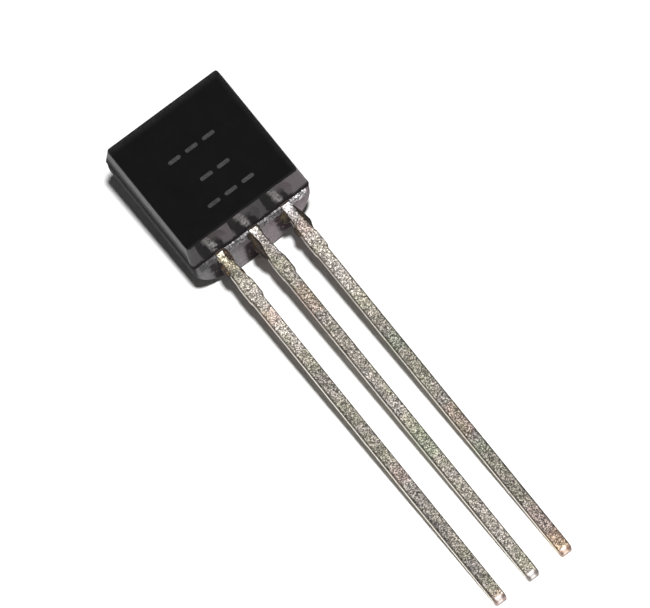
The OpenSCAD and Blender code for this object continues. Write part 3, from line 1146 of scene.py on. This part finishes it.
def studio_world():
    """Dim overhead and brighter low down, with a pale backdrop behind the floor."""
    world = bpy.data.worlds.new("studio")
    world.use_nodes = True
    tree = world.node_tree
    tree.nodes.clear()
    direction = add_node(tree, "ShaderNodeTexCoord", {}, {}).outputs["Generated"]
    height = add_node(tree, "ShaderNodeSeparateXYZ", {}, {"Vector": direction}).outputs["Z"]
    stops = ((0.0, LEVEL_LIGHT), (DIMMEST_FROM, OVERHEAD_LIGHT))
    sky = add_node(tree, "ShaderNodeValToRGB", {"stops": stops}, {"Fac": height}).outputs["Color"]
    lit = add_node(tree, "ShaderNodeBackground", {}, {"Color": sky}).outputs["Background"]
    seen = add_node(tree, "ShaderNodeBackground", {}, {"Color": BACKDROP}).outputs["Background"]
    by_camera = add_node(tree, "ShaderNodeLightPath", {}, {}).outputs["Is Camera Ray"]
    mix = add_node(tree, "ShaderNodeMixShader", {}, {"Fac": by_camera, 1: lit, 2: seen})
    add_node(tree, "ShaderNodeOutputWorld", {}, {"Surface": mix.outputs["Shader"]})
    bpy.context.scene.world = world


# ------------------------------------------------------------------- settings


class TransistorSettings(bpy.types.PropertyGroup):
    """Sizes and colours of the finish."""

    compound_colour: FloatVectorProperty(
        name="Compound", description="Colour of the moulding compound",
        subtype="COLOR", default=(0.0045, 0.0045, 0.0048), min=0.0, max=1.0,
    )
    flat_roughness: FloatProperty(
        name="Flat Roughness", description="How matt the flat is",
        default=0.97, min=0.0, max=1.0, subtype="FACTOR",
    )
    flat_gloss: FloatProperty(
        name="Flat Gloss", description="How strongly the flat reflects",
        default=0.23, min=0.0, max=1.0, subtype="FACTOR",
    )
    compound_gloss: FloatProperty(
        name="Compound Gloss", description="How strongly the compound reflects",
        default=0.34, min=0.0, max=1.0, subtype="FACTOR",
    )
    land_relief: FloatProperty(
        name="Land Relief", description="How far the broken land stands out unevenly",
        default=0.030 * MM, min=0.0, unit="LENGTH", precision=6,
    )
    land_cell: FloatProperty(
        name="Land Cell", description="Size of one facet of a broken face",
        default=0.020 * MM, min=0.005 * MM, unit="LENGTH", precision=6,
    )
    crumb_count: FloatProperty(
        name="Crumbs per Area", description="Crumbs of compound on each square metre of broken face",
        default=7.0e7, min=0.0,
    )
    crumb_seed: IntProperty(
        name="Crumb Seed", description="Which scatter of crumbs is drawn", default=4,
    )
    tin_colour: FloatVectorProperty(
        name="Tin", description="Colour of the clean plating",
        subtype="COLOR", default=(0.204, 0.187, 0.164), min=0.0, max=1.0,
    )
    plating_grain: FloatProperty(
        name="Plating Grain", description="Crystals of tin to the millimetre",
        default=30.0, min=1.0,
    )
    plating_contrast: FloatProperty(
        name="Plating Contrast",
        description="How many times brighter the brightest crystal is than the dullest",
        default=12.0, min=1.0,
    )
    plating_level: FloatProperty(
        name="Plating Level", description="Share of the light that the dullest crystal throws back",
        default=0.226, min=0.0,
    )
    edge_rounding: FloatProperty(
        name="Edge Rounding", description="Width of the rolled edges of a lead",
        default=0.035 * MM, min=0.0, unit="LENGTH", precision=6,
    )
    plating_cell: FloatProperty(
        name="Plating Cell", description="Size of one face of the plated surface",
        default=0.045 * MM, min=0.02 * MM, unit="LENGTH", precision=6,
    )
    plating_relief: FloatProperty(
        name="Plating Relief", description="Depth of the uneven plating",
        default=0.008 * MM, min=0.0, unit="LENGTH", precision=6,
    )
    shear_length: FloatProperty(
        name="Shear Length", description="How far from its cut end a lead is drawn down",
        default=0.20 * MM, min=0.0, unit="LENGTH", precision=6,
    )
    shear_drop: FloatProperty(
        name="Shear Drop", description="How far the front of a lead is drawn down at its end",
        default=0.14 * MM, min=0.0, unit="LENGTH", precision=6,
    )
    flash_colour: FloatVectorProperty(
        name="Flash", description="Colour of the resin flash beside the necks",
        subtype="COLOR", default=(0.018, 0.012, 0.009), min=0.0, max=1.0,
    )
    flash_amount: FloatProperty(
        name="Flash Amount", description="Share of the flash beside the necks that was not broken off",
        default=1.0, min=0.0, max=1.5, subtype="FACTOR",
    )
    film_length: FloatProperty(
        name="Film Length", description="How far the film at the root of a lead reaches out",
        default=0.045 * MM, min=0.0, unit="LENGTH", precision=6,
    )
    mark_colour: FloatVectorProperty(
        name="Mark", description="Colour of the laser mark",
        subtype="COLOR", default=(0.036, 0.036, 0.037), min=0.0, max=1.0,
    )
    mark_length: FloatProperty(
        name="Bar Length", description="Length of one bar of the mark",
        default=0.46 * MM, min=0.0, unit="LENGTH", precision=6,
    )
    mark_height: FloatProperty(
        name="Bar Height", description="Height of one bar of the mark",
        default=0.13 * MM, min=0.0, unit="LENGTH", precision=6,
    )
    mark_gap: FloatProperty(
        name="Bar Gap", description="Gap between two bars of the mark",
        default=0.20 * MM, min=0.0, unit="LENGTH", precision=6,
    )
    floor_colour: FloatVectorProperty(
        name="Floor", description="Colour of the floor",
        subtype="COLOR", default=(0.88, 0.88, 0.88), min=0.0, max=1.0,
    )
    floor_width: FloatProperty(
        name="Floor Width", description="Width of the floor",
        default=3.0, min=0.1, unit="LENGTH",
    )
    camera_azimuth: FloatProperty(
        name="Azimuth", description="Which side the camera looks from",
        default=math.radians(-17.2), subtype="ANGLE",
    )
    camera_elevation: FloatProperty(
        name="Elevation", description="How steeply the camera looks down",
        default=math.radians(62.45), subtype="ANGLE",
    )
    camera_roll: FloatProperty(
        name="Roll", description="Roll of the camera about its line of sight",
        default=math.radians(-21.3), subtype="ANGLE",
    )
    lens: FloatProperty(
        name="Lens", description="Focal length of the camera in millimetres", default=600.0, min=1.0,
    )
    view_width: FloatProperty(
        name="View Width", description="Width that the camera takes in at the part",
        default=20.22 * MM, min=0.0, unit="LENGTH", precision=6,
    )
    aim_across: FloatProperty(
        name="Aim Across", description="Where the middle of the view falls, across the leads",
        default=0.263 * MM, unit="LENGTH", precision=6,
    )
    aim_along: FloatProperty(
        name="Aim Along", description="Where the middle of the view falls, along the leads",
        default=-3.43 * MM, unit="LENGTH", precision=6,
    )


# ------------------------------------------------------------------ operators


def repaint(node, material):
    """Gives a carried-over node its finish."""
    for slot in frame["nodes"][node].material_slots:
        slot.material = material


class TO92_OT_body(bpy.types.Operator):
    """Finish the moulded body in black filled epoxy"""

    bl_idname = "to92.body"
    bl_label = "Moulded Body"

    def execute(self, context):
        repaint("moulded_body", moulding_compound(context.scene.to92))
        return {"FINISHED"}


class TO92_OT_chip(bpy.types.Operator):
    """Finish the chip, its solder and its bond wires"""

    bl_idname = "to92.chip"
    bl_label = "Chip and Bonds"

    def execute(self, context):
        repaint("die_attach", die_solder())
        repaint("silicon_die", silicon())
        gold = gold_wire()
        for node in BOND_WIRES:
            repaint(node, gold)
        return {"FINISHED"}


class TO92_OT_leads(bpy.types.Operator):
    """Plate the three leads and roll their edges"""

    bl_idname = "to92.leads"
    bl_label = "Plated Leads"

    def execute(self, context):
        plated_leads(context.scene.to92)
        return {"FINISHED"}


class TO92_OT_breaks(bpy.types.Operator):
    """Break the faces of the trimmed land and the gate, and scatter crumbs over the land"""

    bl_idname = "to92.breaks"
    bl_label = "Broken Faces"

    def execute(self, context):
        settings = context.scene.to92
        land_finish = broken_compound("broken_land", per_mm=24.0, drawn=2.9, contrast=24.0)
        gate_finish = broken_compound("broken_gate", per_mm=70.0, drawn=1.0, contrast=4.0)
        land = land_mesh(settings)
        inputs = {"Crumbs per Area": settings.crumb_count, "Seed": settings.crumb_seed}
        grown("land_crumbs", land.copy(), crumbs_recipe(), inputs, land_finish)
        for mesh, finish in ((land, land_finish), (gate_mesh(settings), gate_finish)):
            mesh.transform(PACKAGE)
            keep_mesh(mesh.name, mesh, finish)
        return {"FINISHED"}


class TO92_OT_flash(bpy.types.Operator):
    """Leave scraps of resin flash beside the necks of the leads"""

    bl_idname = "to92.flash"
    bl_label = "Resin Flash"

    def execute(self, context):
        settings = context.scene.to92
        mesh = flash_mesh(settings)
        mesh.transform(PACKAGE)
        shade_smooth(mesh)
        keep_mesh(mesh.name, mesh, resin_flash(settings))
        return {"FINISHED"}


class TO92_OT_mark(bpy.types.Operator):
    """Mark the flat with rows of plain bars"""

    bl_idname = "to92.mark"
    bl_label = "Plain Mark"

    def execute(self, context):
        settings = context.scene.to92
        inputs = {
            "Length": settings.mark_length,
            "Height": settings.mark_height,
            "Corner": settings.mark_height * MARK_CORNER,
        }
        grown("flat_mark", mark_points(settings), bars_recipe(), inputs, laser_mark(settings))
        return {"FINISHED"}


class TO92_OT_stage(bpy.types.Operator):
    """Set out the floor, the lights and the camera"""

    bl_idname = "to92.stage"
    bl_label = "Stage"

    def execute(self, context):
        settings = context.scene.to92
        lay_floor(settings)
        hang_key_light()
        studio_world()
        place_camera(settings)
        context.scene.view_settings.view_transform = "Standard"
        return {"FINISHED"}


class TO92_PT_panel(bpy.types.Panel):
    """Lists the pieces and their settings"""

    bl_idname = "TO92_PT_panel"
    bl_label = "TO-92 Transistor"
    bl_space_type = "VIEW_3D"
    bl_region_type = "UI"
    bl_category = "TO-92"

    def draw(self, context):
        column = self.layout.column()
        for operator in OPERATORS:
            column.operator(operator.bl_idname)
        for name in TransistorSettings.__annotations__:
            column.prop(context.scene.to92, name)


OPERATORS = (
    TO92_OT_body, TO92_OT_chip, TO92_OT_leads, TO92_OT_breaks, TO92_OT_flash, TO92_OT_mark,
    TO92_OT_stage,
)
CLASSES = (TransistorSettings, *OPERATORS, TO92_PT_panel)


def register():
    """Adds the operators, the panel and the settings to Blender."""
    for item in CLASSES:
        bpy.utils.register_class(item)
    bpy.types.Scene.to92 = PointerProperty(type=TransistorSettings)


def unregister():
    """Takes them out again."""
    del bpy.types.Scene.to92
    for item in reversed(CLASSES):
        bpy.utils.unregister_class(item)


def main():
    """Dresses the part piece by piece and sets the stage."""
    register()
    bpy.ops.to92.body()
    bpy.ops.to92.chip()
    bpy.ops.to92.leads()
    bpy.ops.to92.breaks()
    bpy.ops.to92.flash()
    bpy.ops.to92.mark()
    bpy.ops.to92.stage()


if __name__ == "__main__":
    main()
